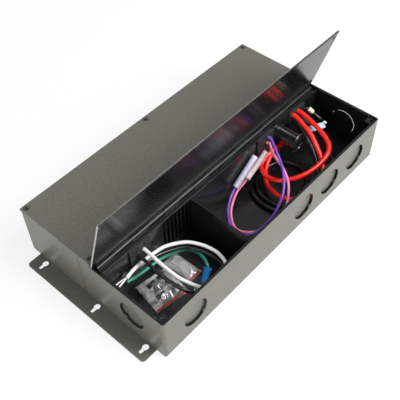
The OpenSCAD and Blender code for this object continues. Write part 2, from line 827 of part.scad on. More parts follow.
// Round holder through the partition: flange, barrel with a rim round its slotted face, nut behind
module fuse_holder() {
    neck_r = fuse_r - 2;
    flange_r = fuse_r + fuse_lip;
    rim_r = fuse_r + fuse_rim;
    face = fuse_l - 0.8;
    nut_r = fuse_r - 0.5;
    color(dark_plastic)
        translate([fuse_x, partition_y, fuse_z])
            rotate([90, 0, 0])
                difference() {
                    rotate_extrude($fn = 48)
                        polygon([[0, -partition_t - fuse_flange_t], [nut_r, -partition_t - fuse_flange_t],
                            [nut_r, -partition_t], [neck_r, -partition_t], [neck_r, 0], [flange_r, 0],
                            [flange_r, fuse_flange_t], [fuse_r, fuse_flange_t], [fuse_r, fuse_l - fuse_rim_t],
                            [rim_r, fuse_l - fuse_rim_t], [rim_r, fuse_l - 0.4], [rim_r - 0.4, fuse_l],
                            [fuse_r - 0.4, fuse_l], [fuse_r - 0.8, face], [0, face]]);
                    translate([0, 0, face])
                        cube([2 * fuse_r - 5, 1.6, 4], center = true);
                }
}

module ac_white() { color("white") lead(ac_white_route, mains_d); }
module ac_black() { color([0.1, 0.1, 0.1]) lead(ac_black_route, mains_d); }
module ground_green() { color([0.1, 0.55, 0.45]) lead(ground_green_route, ground_d); }
module dim_purple() { color([0.45, 0.3, 0.8]) lead(dim_purple_route, dimming_d); }
module dim_pink() { color([1, 0.5, 0.65]) lead(dim_pink_route, dimming_d); }
module output_red_a() { color([0.95, 0.1, 0.08]) lead(red_a_route, output_d); }
module output_red_b() { color([0.95, 0.1, 0.08]) lead(red_b_route, output_d); }
module output_black_a() { color([0.08, 0.08, 0.08]) lead(black_a_route, output_d); }
module output_black_b() { color([0.08, 0.08, 0.08]) lead(black_b_route, output_d); }
module spare_lead() { color([0.08, 0.08, 0.08]) lead(spare_route, spare_d); }

// Stripped ends of the two mains leads
module bare_ends() {
    for (e = [[ac_white_route, white_tip], [ac_black_route, black_tip]]) {
        from = e[0][len(e[0]) - 1];
        color(steel)
            along(from, e[1])
                translate([0, 0, end_gap])
                    cylinder(d = bare_d, h = norm(e[1] - from), $fn = 16);
    }
}

module tube(ends, d, bore) {
    length = norm(ends[1] - ends[0]);
    along(ends[0], ends[1])
        difference() {
            cylinder(d = d, h = length);
            translate([0, 0, -over])
                cylinder(d = bore, h = length + 2 * over);
        }
}

module splice_sleeves() {
    color([0.9, 0.92, 0.95, 0.6])
        for (ends = [purple_sleeve, pink_sleeve])
            tube(ends, sleeve_d, sleeve_d - 2 * sleeve_wall);
}

// Ring on the floor with a crimped barrel rising into the coloured sleeve
module ring_terminal() {
    barrel_end = terminal_low + 0.3 * (terminal_high - terminal_low);
    tongue_w = ground_d + 0.5;
    color(steel) {
        translate([ring_at.x, ring_at.y, sheet_t])
            linear_extrude(ring_t)
                difference() {
                    union() {
                        circle(d = ring_d);
                        translate([0, -tongue_w / 2])
                            square([terminal_barrel.x - ring_at.x + tongue_w / 2, tongue_w]);
                    }
                    circle(d = ground_screw_d + 4 * screw_play);
                }
        along(terminal_barrel, barrel_end)
            cylinder(d = ground_d + 0.7, h = norm(barrel_end - terminal_barrel));
    }
}

module terminal_sleeve() {
    length = norm(terminal_high - terminal_low);
    color([0.05, 0.45, 0.95])
        along(terminal_low, terminal_high)
            difference() {
                union() {
                    cylinder(d = ground_d + 3.4, h = 0.55 * length);
                    translate([0, 0, 0.55 * length])
                        cylinder(d1 = ground_d + 3.4, d2 = ground_d + 5, h = 0.45 * length);
                }
                translate([0, 0, -over])
                    cylinder(d = ground_d + 1.1, h = length + 2 * over);
            }
}

module ground_screw() {
    color([0.2, 0.5, 0.3])
        translate([ring_at.x, ring_at.y, 0]) {
            cylinder(d = ground_screw_d, h = sheet_t + ring_t);
            translate([0, 0, sheet_t + ring_t])
                cylinder(d = ground_head_d, h = ground_head_h, $fn = 6);
        }
}

// Blank tag folded over an output lead
module marker_tag() {
    tag_t = 0.6;
    grip = output_d + 4;
    color([0.8, 0.88, 0.9])
        translate(tag_at)
            rotate([20, 0, -27]) {
                translate([-9, -3.25, 0])
                    cube([18, 6.5, tag_t]);
                for (x = [1.7 - grip / 2 - tag_t, 1.7 + grip / 2])
                    translate([x, -3.25, -3])
                        cube([tag_t, 6.5, 3 + tag_t]);
            }
}

module crimp_cap() {
    color([0.93, 0.87, 0.7])
        tube([spare_route[3], spare_route[4]], spare_d + 3, spare_d + 0.6);
}

module crimp_barrel() {
    color(dark_plastic)
        tube([spare_route[5], spare_route[6]], spare_d + 1.8, spare_d + 0.6);
}

module lead_tip() {
    last = len(spare_route) - 1;
    from = spare_route[last];
    color("white")
        along(from, 2 * from - spare_route[last - 1])
            translate([0, 0, end_gap])
                cylinder(d = spare_d + 0.4, h = 2.8);
}

// Pillow form of a filled bag, lying on the floor
module pillow(l, w, h, wall) {
    hull() {
        for (layer = [[0, 0.76], [0.35, 1], [1, 0.62]])
            translate([0, 0, wall + layer[0] * (h - 2 * wall - 0.1)])
                linear_extrude(0.1)
                    rounded_rect(w * layer[1] - 2 * wall, l * layer[1] - 2 * wall, 2);
    }
}

module bag(at, turn, l, w, h) {
    translate([at.x, at.y, sheet_t])
        rotate(turn)
            difference() {
                pillow(l, w, h, 0);
                pillow(l, w, h, bag_wall);
            }
}

module hardware_bag() {
    color([0.85, 0.87, 0.88, 0.5])
        bag(bag_at, bag_turn, bag_l, bag_w, bag_h);
}

module spare_bag() {
    color([0.85, 0.87, 0.88, 0.5])
        bag(spare_bag_at, spare_bag_turn, spare_bag_l, spare_bag_w, spare_bag_h);
}

// Screws supplied in the larger bag
module bag_screws() {
    head_d = 5;
    color(dark_plastic)
        translate([bag_at.x, bag_at.y, sheet_t + bag_wall + head_d / 2])
            rotate(bag_turn)
                for (p = bag_screw_places)
                    translate([p[0], p[1], 0])
                        rotate([0, 90, p[2]]) {
                            cylinder(d = head_d, h = 1.6);
                            cylinder(d = 2.8, h = 8);
                        }
}

module circuit_board() {
    color([0.1, 0.4, 0.2])
        translate([-board_l / 2, board_y - board_w / 2, board_z])
            cube([board_l, board_w, board_t]);
}

module board_posts() {
    color(steel)
        for (x = [-1, 0, 1], y = [-1, 1])
            translate([x * (board_l / 2 - post_d), board_y + y * (board_w / 2 - post_d), sheet_t])
                cylinder(d = post_d, h = post_h);
}

// Wound bobbin between the two legs of a ferrite frame
module transformer() {
    window_l = transformer_l - 2 * transformer_leg;
    color([0.2, 0.2, 0.22])
        translate([transformer_x, board_y - parts_y, board_top]) {
            difference() {
                translate([-transformer_l / 2, -transformer_w / 2, 0])
                    cube([transformer_l, transformer_w, transformer_h]);
                translate([-window_l / 2, -transformer_w, transformer_leg])
                    cube([window_l, 2 * transformer_w, transformer_h - 2 * transformer_leg]);
            }
            translate([0, 0, transformer_leg / 2])
                cylinder(d = window_l - 1, h = transformer_h - transformer_leg);
        }
}

// Wound ring, flattened a little where it lies on the board
module input_choke() {
    ring_r = choke_d / 6;
    flat = ring_r / 30;
    color([0.6, 0.3, 0.15])
        translate([choke_in - board_l / 2, board_y - parts_y, board_top + ring_r - flat])
            rotate_extrude()
                intersection() {
                    translate([choke_d / 2 - ring_r, 0])
                        circle(ring_r);
                    translate([0, flat - ring_r])
                        square([choke_d, 2 * ring_r]);
                }
}

module storage_capacitors() {
    edge = 1;
    last_x = board_l / 2 - capacitor_in;
    color([0.12, 0.14, 0.2])
        for (i = [0 : 2])
            translate([last_x - i * (capacitor_d + capacitor_gap), board_y - parts_y, board_top])
                rotate_extrude()
                    polygon([[0, 0], [capacitor_d / 2, 0], [capacitor_d / 2, capacitor_h - edge],
                        [capacitor_d / 2 - edge, capacitor_h], [0, capacitor_h]]);
}

// Aluminium angle along the board's rear edge
module heat_spreader() {
    color([0.75, 0.76, 0.78])
        translate([-spreader_l / 2, spreader_y, board_top]) {
            translate([0, -spreader_t, 0])
                cube([spreader_l, spreader_t, spreader_h]);
            translate([0, -spreader_foot, 0])
                cube([spreader_l, spreader_foot, spreader_t]);
        }
}

module power_transistors() {
    pitch = spreader_l / transistor_count;
    color(dark_plastic)
        for (i = [0 : transistor_count - 1])
            translate([(i + 0.5) * pitch - spreader_l / 2 - transistor_w / 2,
                spreader_y - spreader_t - transistor_t, board_top + spreader_t])
                cube([transistor_w, transistor_t, transistor_h]);
}

housing();
driver_cover();
cover_screws();
partition();
divider();
hinge_rail();
hinge_fixed_leaf();
hinge_moving_leaf();
hinge_pin();
wiring_lid();
input_grommet();
dimming_grommet();
output_grommet();
fuse_holder();
ac_white();
ac_black();
bare_ends();
ground_green();
ring_terminal();
terminal_sleeve();
ground_screw();
dim_purple();
dim_pink();
splice_sleeves();
output_red_a();
output_red_b();
output_black_a();
output_black_b();
marker_tag();
spare_lead();
crimp_cap();
crimp_barrel();
lead_tip();
hardware_bag();
bag_screws();
spare_bag();
circuit_board();
board_posts();
transformer();
input_choke();
storage_capacitors();
heat_spreader();
power_transistors();
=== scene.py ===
"""Looks for the LED driver: camera, light, materials, the flexible leads and the two clear bags."""

import math

import bpy
from mathutils import Matrix, Vector, noise


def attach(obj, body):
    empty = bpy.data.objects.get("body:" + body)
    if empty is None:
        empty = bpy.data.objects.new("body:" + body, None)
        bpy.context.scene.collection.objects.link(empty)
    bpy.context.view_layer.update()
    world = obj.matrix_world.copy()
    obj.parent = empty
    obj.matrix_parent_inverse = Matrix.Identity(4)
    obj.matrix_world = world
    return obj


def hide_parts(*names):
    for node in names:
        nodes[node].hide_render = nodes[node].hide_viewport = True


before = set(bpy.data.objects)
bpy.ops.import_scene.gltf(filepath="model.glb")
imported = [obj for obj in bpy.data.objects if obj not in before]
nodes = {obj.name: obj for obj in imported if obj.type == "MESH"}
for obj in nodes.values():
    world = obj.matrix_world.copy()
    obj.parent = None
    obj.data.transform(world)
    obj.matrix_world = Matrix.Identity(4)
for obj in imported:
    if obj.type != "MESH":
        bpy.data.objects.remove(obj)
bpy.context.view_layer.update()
MM = 0.001


# Materials

class Look:
    """A material in the making: a Principled shader, and textures in the part's own coordinates."""

    def __init__(self, name, colour, roughness, **inputs):
        self.material = bpy.data.materials.new(name)
        self.material.use_nodes = True
        self.tree = self.material.node_tree
        self.shader = self.tree.nodes["Principled BSDF"]
        coordinates = self.node("ShaderNodeTexCoord")
        self.place = coordinates.outputs["Object"]
        self.normal = coordinates.outputs["Normal"]
        self.set(Base_Color=(*colour, 1), Roughness=roughness, **inputs)

    def node(self, kind, **settings):
        node = self.tree.nodes.new(kind)
        for name, value in settings.items():
            setattr(node, name, value)
        return node

    def link(self, source, target):
        self.tree.links.new(source, target)

    def set(self, **inputs):
        for name, value in inputs.items():
            self.shader.inputs[name.replace("_", " ")].default_value = value

    def noise(self, scale, detail=3.0, stretch=(1, 1, 1)):
        """Noise with about that many features to the metre, from 0 to 1."""
        mapping = self.node("ShaderNodeMapping")
        mapping.inputs["Scale"].default_value = stretch
        texture = self.node("ShaderNodeTexNoise")
        texture.inputs["Scale"].default_value = scale
        texture.inputs["Detail"].default_value = detail
        self.link(self.place, mapping.inputs["Vector"])
        self.link(mapping.outputs["Vector"], texture.inputs["Vector"])
        return texture.outputs["Fac"]

    def ramp(self, source, *stops):
        """Colours by the source's value: each stop is (value, colour)."""
        ramp = self.node("ShaderNodeValToRGB")
        points = ramp.color_ramp.elements
        while len(points) < len(stops):
            points.new(1.0)
        for point, (value, colour) in zip(points, stops):
            point.position = value
            point.color = (*colour, 1)
        self.link(source, ramp.inputs["Fac"])
        return ramp.outputs["Color"]

    def tint(self, source, *stops):
        """Lets the base colour follow the source."""
        self.link(self.ramp(source, *stops), self.shader.inputs["Base Color"])

    def math(self, operation, *inputs):
        """Result of a math node. Each input is a socket or a number."""
        node = self.node("ShaderNodeMath", operation=operation)
        for socket, value in zip(node.inputs, inputs):
            if isinstance(value, (int, float)):
                socket.default_value = value
            else:
                self.link(value, socket)
        return node.outputs["Value"]

    def within(self, place, half, turn):
        """1 inside a box of the given half sizes about a place, turned about X, and 0 outside it."""
        mapping = self.node("ShaderNodeMapping", vector_type="TEXTURE")
        mapping.inputs["Location"].default_value = place
        mapping.inputs["Rotation"].default_value = (turn, 0, 0)
        self.link(self.place, mapping.inputs["Vector"])
        axes = self.node("ShaderNodeSeparateXYZ")
        self.link(mapping.outputs["Vector"], axes.inputs["Vector"])
        x, y, z = (self.math("COMPARE", axes.outputs[axis], 0, size) for axis, size in zip("XYZ", half))
        return self.math("MULTIPLY", self.math("MULTIPLY", x, y), z)

    def facing_in(self, half):
        """0 on the walls of a box that face away from its upright axis, 1 elsewhere."""
        clearly_outward = 0.6
        scaled = self.node("ShaderNodeVectorMath", operation="MULTIPLY")
        scaled.inputs[1].default_value = (1 / half[0], 1 / half[1], 0)
        self.link(self.place, scaled.inputs[0])
        outward = self.node("ShaderNodeVectorMath", operation="DOT_PRODUCT")
        self.link(scaled.outputs["Vector"], outward.inputs[0])
        self.link(self.normal, outward.inputs[1])
        return self.math("LESS_THAN", outward.outputs["Value"], clearly_outward)

    def blend_colour(self, share, colour):
        """Covers the base colour with another where the share is 1."""
        mix = self.node("ShaderNodeMix", data_type="RGBA")
        base = self.shader.inputs["Base Color"]
        self.link(share, mix.inputs["Factor"])
        self.link(base.links[0].from_socket, mix.inputs["A"])
        self.link(colour, mix.inputs["B"])
        self.link(mix.outputs["Result"], base)

    def vary(self, name, source, low, high, span_of_source=(0.3, 0.7)):
        """Lets an input follow the source from low to high."""
        span = self.node("ShaderNodeMapRange")
        span.inputs["From Min"].default_value, span.inputs["From Max"].default_value = span_of_source
        span.inputs["To Min"].default_value = low
        span.inputs["To Max"].default_value = high
        self.link(source, span.inputs["Value"])
        self.link(span.outputs["Result"], self.shader.inputs[name])

    def bump(self, source, depth, strength, soft_edge=0.0):
        """Raises the surface by the source, in metres. soft_edge rounds the shading of sharp edges."""
        bump = self.node("ShaderNodeBump")
        bump.inputs["Strength"].default_value = strength
        bump.inputs["Distance"].default_value = depth
        self.link(source, bump.inputs["Height"])
        if soft_edge:
            bevel = self.node("ShaderNodeBevel", samples=4)
            bevel.inputs["Radius"].default_value = soft_edge
            self.link(bevel.outputs["Normal"], bump.inputs["Normal"])
        self.link(bump.outputs["Normal"], self.shader.inputs["Normal"])
        return self


def coat(name, shell, relief, lining=None, turn=0.0, place=(0, 0, 0), half=(0, 0, 0), edge=None,
         inner=None):
    """Powder coat on sheet steel. Each coat is (dark colour, light colour, roughness).

    The lining, a smoother and darker coat, covers what lies in a box: half sizes about a place, turned
    about X; on the screws it is painted shade in their drive recesses. The faces of an upright box's own
    walls that look outwards keep the shell's coat. What lies outside a second box of the half sizes inner,
    the sheet's two end faces on the lid, has the edge's two colours: a painted highlight, lighter than the
    coat.
    """
    dark_at, light_at = 0.3, 0.72
    soft_edge = 0.6 * MM
    dark, light, roughness = shell
    look = Look(name, dark, roughness, IOR=1.5)
    grain = look.noise(800, 3)
    look.tint(grain, (dark_at, dark), (light_at, light))
    look.bump(look.noise(700, 2), relief, 0.5, soft_edge)
    if lining:
        inside = look.within(place, half, turn)
        if not turn:
            inside = look.math("MULTIPLY", inside, look.facing_in(half))
        lining_dark, lining_light, lining_roughness = lining
        look.blend_colour(inside, look.ramp(grain, (dark_at, lining_dark), (light_at, lining_light)))
        look.vary("Roughness", inside, roughness, lining_roughness, (0, 1))
    if edge:
        # Painted highlight: what lies outside the inner box takes the lighter edge colours
        at_edge = look.math("SUBTRACT", 1, look.within(place, inner, turn))
        edge_dark, edge_light = edge
        look.blend_colour(at_edge, look.ramp(grain, (dark_at, edge_dark), (light_at, edge_light)))
    return look.material


def insulation(name, colour, shade, roughness=0.34):
    """Extruded lead insulation: a slight change of colour along it and a soft sheen."""
    look = Look(name, colour, roughness, Coat_Weight=0.25, Coat_Roughness=0.2)
    look.tint(look.noise(130), (0.3, shade), (0.7, colour))
    look.vary("Roughness", look.noise(400), roughness - 0.06, roughness + 0.08)
    return look.bump(look.noise(1500, 2), 0.00003, 0.4).material


def metal(name, colour, roughness, stretch=(1, 1, 1)):
    """Bare or plated metal. The grain is drawn out along an axis where stretch is under 1."""
    look = Look(name, colour, roughness, Metallic=1.0)
    look.vary("Roughness", look.noise(900, 3, stretch), roughness - 0.08, roughness + 0.12)
    return look.bump(look.noise(1200, 3, stretch), 0.00003, 0.4).material


def moulding(name, colour, roughness, grain=800, depth=0.00003):
    """Moulded plastic, rubber or laminate, with a faint grain."""
    look = Look(name, colour, roughness)
    look.tint(look.noise(200), (0.3, [0.8 * c for c in colour]), (0.7, colour))
    look.vary("Roughness", look.noise(grain / 2), roughness - 0.05, roughness + 0.08)
    return look.bump(look.noise(grain, 3), depth, 0.5, 0.0004).material


def highlight_streaked(name, colour, painted_highlight):
    """Polished black moulding with thin light streaks along Y: painted highlights along the barrel."""
    look = Look(name, colour, 0.12, IOR=1.6, Coat_Weight=0.8)
    look.tint(look.noise(420, 2, (1, 0.02, 1)), (0.62, colour), (0.7, painted_highlight))
    look.vary("Roughness", look.noise(500), 0.07, 0.16)
    return look.bump(look.noise(300, 2, (1, 0.05, 1)), 0.00005, 0.4, 0.0006).material


def clear(name, colour, roughness, transmission, wrinkle, fineness, shade=None):
    """Thin clear or milky film and tubing. wrinkle is the depth of its unevenness, in metres."""
    look = Look(name, colour, roughness, Transmission_Weight=transmission, IOR=1.12,
                Coat_Weight=1.0, Coat_Roughness=0.15, Coat_IOR=2.2)
    # With a shade, patches of two colours; on the bag's backing the light ones are painted reflection
    if shade:
        look.tint(look.noise(110, 3), (0.38, shade), (0.62, colour))
    look.vary("Roughness", look.noise(250), roughness - 0.04, roughness + 0.1)
    return look.bump(look.noise(fineness, 2), wrinkle, 0.6).material


textured = ((0.094, 0.094, 0.078), (0.161, 0.16, 0.134), 0.38)
glossy = ((0.005, 0.005, 0.006), (0.011, 0.011, 0.012), 0.23)
satin = ((0.006, 0.006, 0.007), (0.012, 0.012, 0.013), 0.38)
screw_head = ((0.045, 0.042, 0.038), (0.08, 0.074, 0.068), 0.45)
# Painted highlight for the lid's two end faces: a light coat colour in place of the light falling on them
end_face_highlight = ((0.29, 0.29, 0.262), (0.39, 0.39, 0.352))

# Depth of the coarse and of the fine relief, in metres
coarse, fine = 0.00006, 0.00001

# The housing's lining: from just under the floor's top to the rim, and to just short of the outer faces
body_l, body_w = 0.312, 0.177
skin = 0.0001
lining_low, lining_high = 0.0014, 0.0523
lining_middle = (0, 0, (lining_low + lining_high) / 2)
lining_half = (body_l / 2 - skin, body_w / 2 - skin, (lining_high - lining_low) / 2)

# The lid's lining: its inner face, in the lid's open position; and all of it but its two end faces, which get
# the painted highlight
lid_turn = math.radians(-73)
hinge_axis = (0, -0.0072, 0.0501)
past_lid = 0.2
lid_lining = (past_lid, past_lid, 0.0031)
lid_end = max(vertex.co.x for vertex in nodes["wiring_lid"].data.vertices)
lid_inner = (lid_end - 2 * skin, past_lid, past_lid)

# The screws' painted shade: what lies below the top of their heads, their drive recesses, takes the dark satin
# coat
recess_shade_middle = (0, 0, 0.0535)
recess_shade_half = (1, 1, 0.0036)

housing_coat = coat("housing_coat", textured, coarse, glossy, 0, lining_middle, lining_half)
lid_coat = coat("lid_coat", textured, fine, glossy, lid_turn, hinge_axis, lid_lining, end_face_highlight, lid_inner)
cover_coat = coat("cover_coat", textured, coarse)
inside_coat = coat("inside_coat", glossy, fine)
hinge_coat = coat("hinge_coat", satin, fine)
# Painted shade: the satin lining darkens the screws' drive recesses below the heads' tops
screw_coat = coat("screw_coat", screw_head, fine, satin, 0, recess_shade_middle, recess_shade_half)
white_skin = insulation("white_skin", (0.82, 0.82, 0.79), (0.72, 0.72, 0.68))
black_skin = insulation("black_skin", (0.006, 0.006, 0.007), (0.01, 0.01, 0.011), 0.17)
green_skin = insulation("green_skin", (0.012, 0.3, 0.2), (0.008, 0.22, 0.15))
purple_skin = insulation("purple_skin", (0.2, 0.085, 0.5), (0.15, 0.06, 0.42))
pink_skin = insulation("pink_skin", (0.92, 0.29, 0.45), (0.84, 0.22, 0.37))
red_skin = insulation("red_skin", (0.94, 0.02, 0.012), (0.82, 0.014, 0.009))

surfaces = {
    housing_coat: ["housing"],
    cover_coat: ["driver_cover"],
    inside_coat: ["partition", "divider", "hinge_rail"],
    lid_coat: ["wiring_lid"],
    hinge_coat: ["hinge_fixed_leaf", "hinge_moving_leaf"],
    screw_coat: ["cover_screws"],
    metal("hinge_pin_steel", (0.6, 0.6, 0.62), 0.3, (0.1, 1, 1)): ["hinge_pin", "board_posts"],
    metal("tinned_brass", (0.72, 0.68, 0.58), 0.3): ["ring_terminal"],
    metal("black_oxide", (0.016, 0.016, 0.018), 0.6): ["bag_screws"],
    metal("green_zinc", (0.08, 0.3, 0.14), 0.35): ["ground_screw"],
    metal("mill_aluminium", (0.75, 0.76, 0.77), 0.35, (0.05, 1, 1)): ["heat_spreader"],
    metal("enamelled_wire", (0.5, 0.2, 0.09), 0.3, (1, 1, 6)): ["input_choke"],
    moulding("grommet_rubber", (0.022, 0.022, 0.023), 0.5): [
        "input_grommet", "dimming_grommet", "output_grommet"],
    # The fuse holder's light streaks are painted highlights
    highlight_streaked("holder_plastic", (0.006, 0.006, 0.007), (0.12, 0.12, 0.12)): ["fuse_holder"],
    moulding("barrel_plastic", (0.01, 0.01, 0.011), 0.2): ["crimp_barrel"],
    moulding("blue_vinyl", (0.045, 0.37, 1.0), 0.3): ["terminal_sleeve"],
    moulding("cream_nylon", (0.8, 0.7, 0.46), 0.45): ["crimp_cap"],
    moulding("white_nylon", (0.85, 0.85, 0.82), 0.4): ["lead_tip"],
    moulding("tag_film", (0.36, 0.54, 0.62), 0.35): ["marker_tag"],
    moulding("board_laminate", (0.012, 0.08, 0.035), 0.4): ["circuit_board"],
    moulding("ferrite", (0.03, 0.03, 0.032), 0.6, 1500, 0.0001): ["transformer"],
    moulding("capacitor_sleeve", (0.015, 0.02, 0.05), 0.3): ["storage_capacitors"],
    moulding("transistor_case", (0.015, 0.015, 0.015), 0.5): ["power_transistors"],
}
for surface, names in surfaces.items():
    for name in names:
        mesh = nodes[name].data
        mesh.materials.clear()
        mesh.materials.append(surface)


# Leads

def smooth(route, steps):
    """Points of a smooth curve through the route."""
    points = [Vector(p) * MM for p in route]
    path = []
    for i in range(len(points) - 1):
        a, b = points[max(i - 1, 0)], points[i]
        c, d = points[i + 1], points[min(i + 2, len(points) - 1)]
        for k in range(steps):
            t = k / steps
            path.append(0.5 * (2 * b + (c - a) * t + (2 * a - 5 * b + 4 * c - d) * t ** 2
                               + (3 * b - a - 3 * c + d) * t ** 3))
    return path + [points[-1]]


def curve(name, paths, radius, surface):
    """One curve object with a round section, one spline for each path."""
    data = bpy.data.curves.new(name, "CURVE")
    data.dimensions = "3D"
    data.bevel_depth = radius
    data.bevel_resolution = 4
    data.use_fill_caps = True
    data.materials.append(surface)
    for path in paths:
        spline = data.splines.new("POLY")
        spline.points.add(len(path) - 1)
        for point, place in zip(spline.points, path):
            point.co = (*place, 1)
    piece = bpy.data.objects.new(name, data)
    bpy.context.scene.collection.objects.link(piece)
    return piece


def lead(node, route, diameter, surface):
    """A lead along its route, in place of its solid. Route and diameter are in millimetres."""
    path = smooth(route, 8)
    piece = curve(node + "_lead", [path], diameter / 2 * MM, surface)
    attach(piece, "driver")
    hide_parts(node)


def strands(name, start, tip, surface):
    """Twisted strands of a stripped end, round a straight one."""
    count, steps, turns = 6, 16, 0.9
    strand_r, bundle_r, flare = 0.3, 0.58, 0.12
    start, tip = Vector(start) * MM, Vector(tip) * MM
    axis = (tip - start).normalized()
    side = axis.orthogonal().normalized()
    up = axis.cross(side)
    paths = [[start, tip]]
    for strand in range(count):
        path = []
        for k in range(steps + 1):
            angle = math.tau * (strand / count + turns * k / steps)
            spread = (bundle_r + flare * (k / steps) ** 3) * MM
            path.append(start.lerp(tip, k / steps)
                        + spread * (math.cos(angle) * side + math.sin(angle) * up))
        paths.append(path)
    piece = curve(name, paths, strand_r * MM, surface)
    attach(piece, "driver")
    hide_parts("bare_ends")
    return piece


def sleeve(name, low, high, surface):
    """Clear tubing over a lead's end, a little belled at both ends.

    Its outline is (share of the length, radius in millimetres), up the outside and back down the bore.
    """
    low, high = Vector(low) * MM, Vector(high) * MM
    axis = (high - low).normalized()
    side = axis.orthogonal().normalized()
    up = axis.cross(side)
    outline = [(0, 2.7), (0, 3.2), (0.03, 3.25), (0.12, 3.1), (0.8, 3.05), (0.93, 3.2), (1, 3.2),
               (1, 2.65), (0.8, 2.6), (0.12, 2.65)]
    around = 24
    points = []
    for along, radius in outline:
        for k in range(around):
            angle = math.tau * k / around
            points.append(low.lerp(high, along)
                          + radius * MM * (math.cos(angle) * side + math.sin(angle) * up))
    faces = []
    for ring in range(len(outline)):
        start, after = ring * around, (ring + 1) % len(outline) * around
        for k in range(around):
            nxt = (k + 1) % around
            faces.append((start + k, start + nxt, after + nxt, after + k))
    mesh = bpy.data.meshes.new(name)
    mesh.from_pydata(points, [], faces)
    mesh.materials.append(surface)
    mesh.shade_smooth()
    piece = bpy.data.objects.new(name, mesh)
    bpy.context.scene.collection.objects.link(piece)
    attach(piece, "driver")
    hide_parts("splice_sleeves")
    return piece


purple_tubing = clear("purple_tubing", (0.8, 0.8, 0.94), 0.3, 0.45, 0.00004, 90)
pink_tubing = clear("pink_tubing", (0.93, 0.8, 0.84), 0.3, 0.45, 0.00004, 90)
purple_sleeve = sleeve("purple_sleeve", (16, -19.5, 18), (46.5, -19.2, 38), purple_tubing)
pink_sleeve = sleeve("pink_sleeve", (31, -22.1, 20), (61, -21.7, 34.5), pink_tubing)
tinned_wire = metal("tinned_wire", (0.78, 0.74, 0.68), 0.28)
white_strands = strands("white_strands", (-134.5, -22.5, 31), (-145, -24.6, 31.5), tinned_wire)
black_strands = strands("black_strands", (-132.5, -18.7, 26), (-144, -18.1, 26.5), tinned_wire)

lead("ac_white", [
    (-106.5, -14.1, 40), (-106.5, -17.5, 40), (-106.5, -20.5, 40), (-107.5, -30, 40), (-108, -45, 39),
    (-107, -60, 37), (-102, -72.5, 33), (-95, -79.5, 28), (-84, -82, 24.5), (-72, -80.5, 22.5),
    (-62, -73.5, 22), (-58, -62, 22.5), (-59, -52, 23.5), (-63, -42, 25), (-71, -32, 27), (-86, -23.5, 29),
    (-100, -21, 30), (-113, -20, 30), (-124.5, -20.5, 30.5), (-134.5, -22.5, 31)],
    3.5, white_skin)
lead("ac_black", [
    (-114, -14.1, 38), (-114, -17.5, 38), (-114, -20.5, 38), (-114, -28, 38), (-115.5, -41, 37),
    (-114, -56, 35), (-110.5, -69, 32), (-104, -77, 27), (-94, -81.5, 21), (-82, -83, 17.5), (-70, -81, 16),
    (-64, -74, 16.5), (-61.5, -65, 18), (-62, -55, 19), (-64.5, -45, 20), (-72, -33, 21.5), (-90.5, -23.5, 23),
    (-105, -20.3, 24.5), (-120, -19.4, 25.5), (-132.5, -18.7, 26)],
    3.5, black_skin)
lead("ground_green", [
    (-77, -62.8, 10.6), (-74.6, -62.1, 13.2), (-72.2, -61.2, 15.8), (-70, -57.5, 17.6), (-67.3, -50.8, 17.2),
    (-66, -43, 15.8), (-68, -35, 15.4), (-73.5, -30, 15.5), (-83, -25.5, 15.5), (-93, -22.5, 16),
    (-107, -22.2, 18), (-120.5, -22, 20), (-133.5, -20.8, 22)],
    3.1, green_skin)
lead("dim_purple", [
    (68.5, -14.1, 46.5), (68.5, -17.5, 46.5), (68.5, -20.5, 46.5), (61, -32, 45.5), (49, -49.5, 43),
    (39.5, -59.5, 40), (27.5, -68, 35), (17, -71.2, 29), (7, -71.6, 22), (-5, -69.6, 16), (-15, -66, 13),
    (-21.5, -58.5, 12), (-22, -49, 12), (-17.5, -40, 12), (-7.5, -30, 12), (5, -22.5, 13), (15, -19.6, 17.3),
    (24, -19.4, 23.2), (30, -19.3, 27.2)],
    2.8, purple_skin)
lead("dim_pink", [
    (67.5, -14.1, 39.5), (67.5, -17.5, 39.5), (67.5, -20.5, 39.5), (59.5, -31, 39), (52, -49, 37),
    (42.5, -62.5, 35), (33, -70.5, 30), (24, -75, 24), (9, -76.5, 16.5), (-2, -72, 12), (-9, -66, 10.5),
    (-15, -59, 9.5), (-18, -50, 9), (-13.5, -40.5, 8.5), (-3.5, -30.5, 8.5), (9, -23.5, 9), (19, -20, 10.5),
    (27, -21.2, 16), (33, -22, 21), (40, -22, 24.4), (46, -22, 27.3)],
    2.8, pink_skin)
lead("output_red_a", [
    (110, -14.1, 46.5), (110, -17.5, 46.5), (110, -20.5, 46.5), (107.5, -30, 45), (102.8, -44.5, 42),
    (98, -55.5, 37), (92, -66.5, 31), (83, -76, 24.5), (72, -80.5, 17.5), (58, -79, 12.5), (47.5, -70, 10.5),
    (41, -58, 10), (41.5, -47, 10.5), (45.5, -36, 11), (56, -26, 12.5), (66, -21, 15.5), (75, -19, 18.5),
    (84, -20, 19)],
    4.9, red_skin)
lead("output_red_b", [
    (118.3, -14.1, 46.5), (118.3, -17.5, 46.5), (118.3, -20.5, 46.5), (117.2, -31, 45), (113.3, -46, 43.5),
    (108, -60, 41.5), (101, -68.5, 39.5), (89.5, -72, 37), (75, -71, 34), (60.5, -66, 31), (50.5, -58, 28),
    (43.5, -48.5, 26), (44, -35.5, 23), (50.5, -24.5, 20.5), (58.5, -19.8, 21.5), (69, -20.3, 25),
    (79, -21, 26), (87, -22, 25.5)],
    4.9, red_skin)
lead("output_black_a", [
    (110, -14.1, 38.5), (110, -17.5, 38.5), (110, -20.5, 38.5), (107.5, -29, 36), (104.5, -39, 32),
    (102, -47.5, 27.5), (95, -59.5, 20), (86, -68.5, 14), (74, -74.5, 9), (60, -75.5, 5.5), (46, -71, 4.2),
    (36, -61, 4), (33, -49, 4), (35.5, -36, 4), (43, -25.5, 4), (54, -19.5, 4), (66, -18.6, 4), (78, -21.5, 4),
    (87, -29.5, 4), (90.5, -41, 4), (88, -53, 4), (80, -61.5, 4), (70, -65.5, 4), (60, -64.5, 4)],
    4.9, black_skin)
